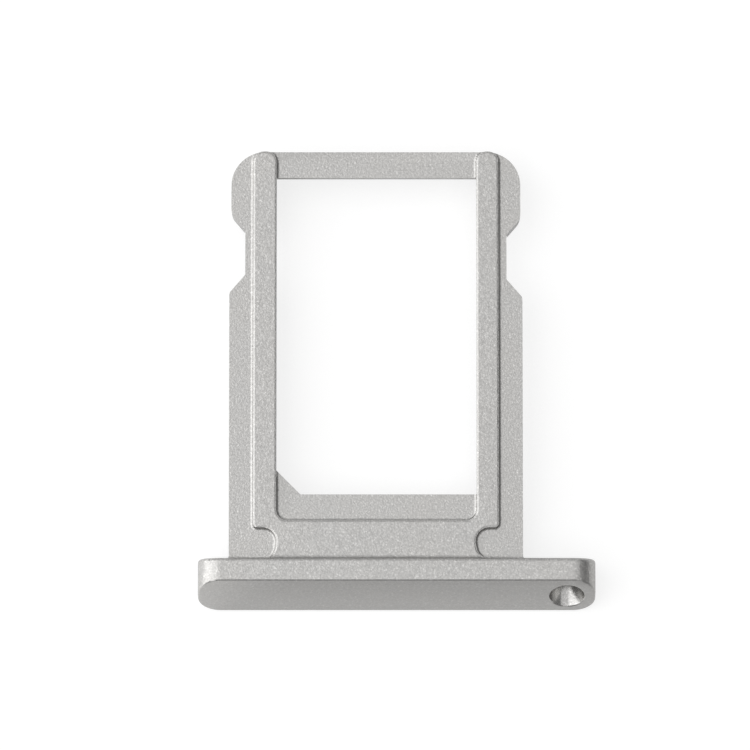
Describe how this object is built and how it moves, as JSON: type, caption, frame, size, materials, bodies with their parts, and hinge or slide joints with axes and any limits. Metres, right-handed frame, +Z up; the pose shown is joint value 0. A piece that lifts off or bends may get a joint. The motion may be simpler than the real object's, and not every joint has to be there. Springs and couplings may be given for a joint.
{
  "type": "sim card tray",
  "caption": "One-piece aluminium tray that carries a nano-size card into a device, with a contact window, a raised rail, side notches and a faceplate with an ejector hole.",
  "frame": {"origin": "below the middle of the tray's outline, at the height of the faceplate's lowest line", "axes": "+X along the faceplate, towards the ejector hole; +Y from the faceplate towards the inner end of the frame; +Z up, from the card side to the contact side with the raised rail"},
  "size_m": [0.0134, 0.0156, 0.0018],
  "materials": {
    "anodised_aluminium": "bead-blasted and clear anodised, fine satin grain"
  },
  "bodies": {
    "root": {"sim_tray": "anodised_aluminium"}
  },
  "joints": []
}
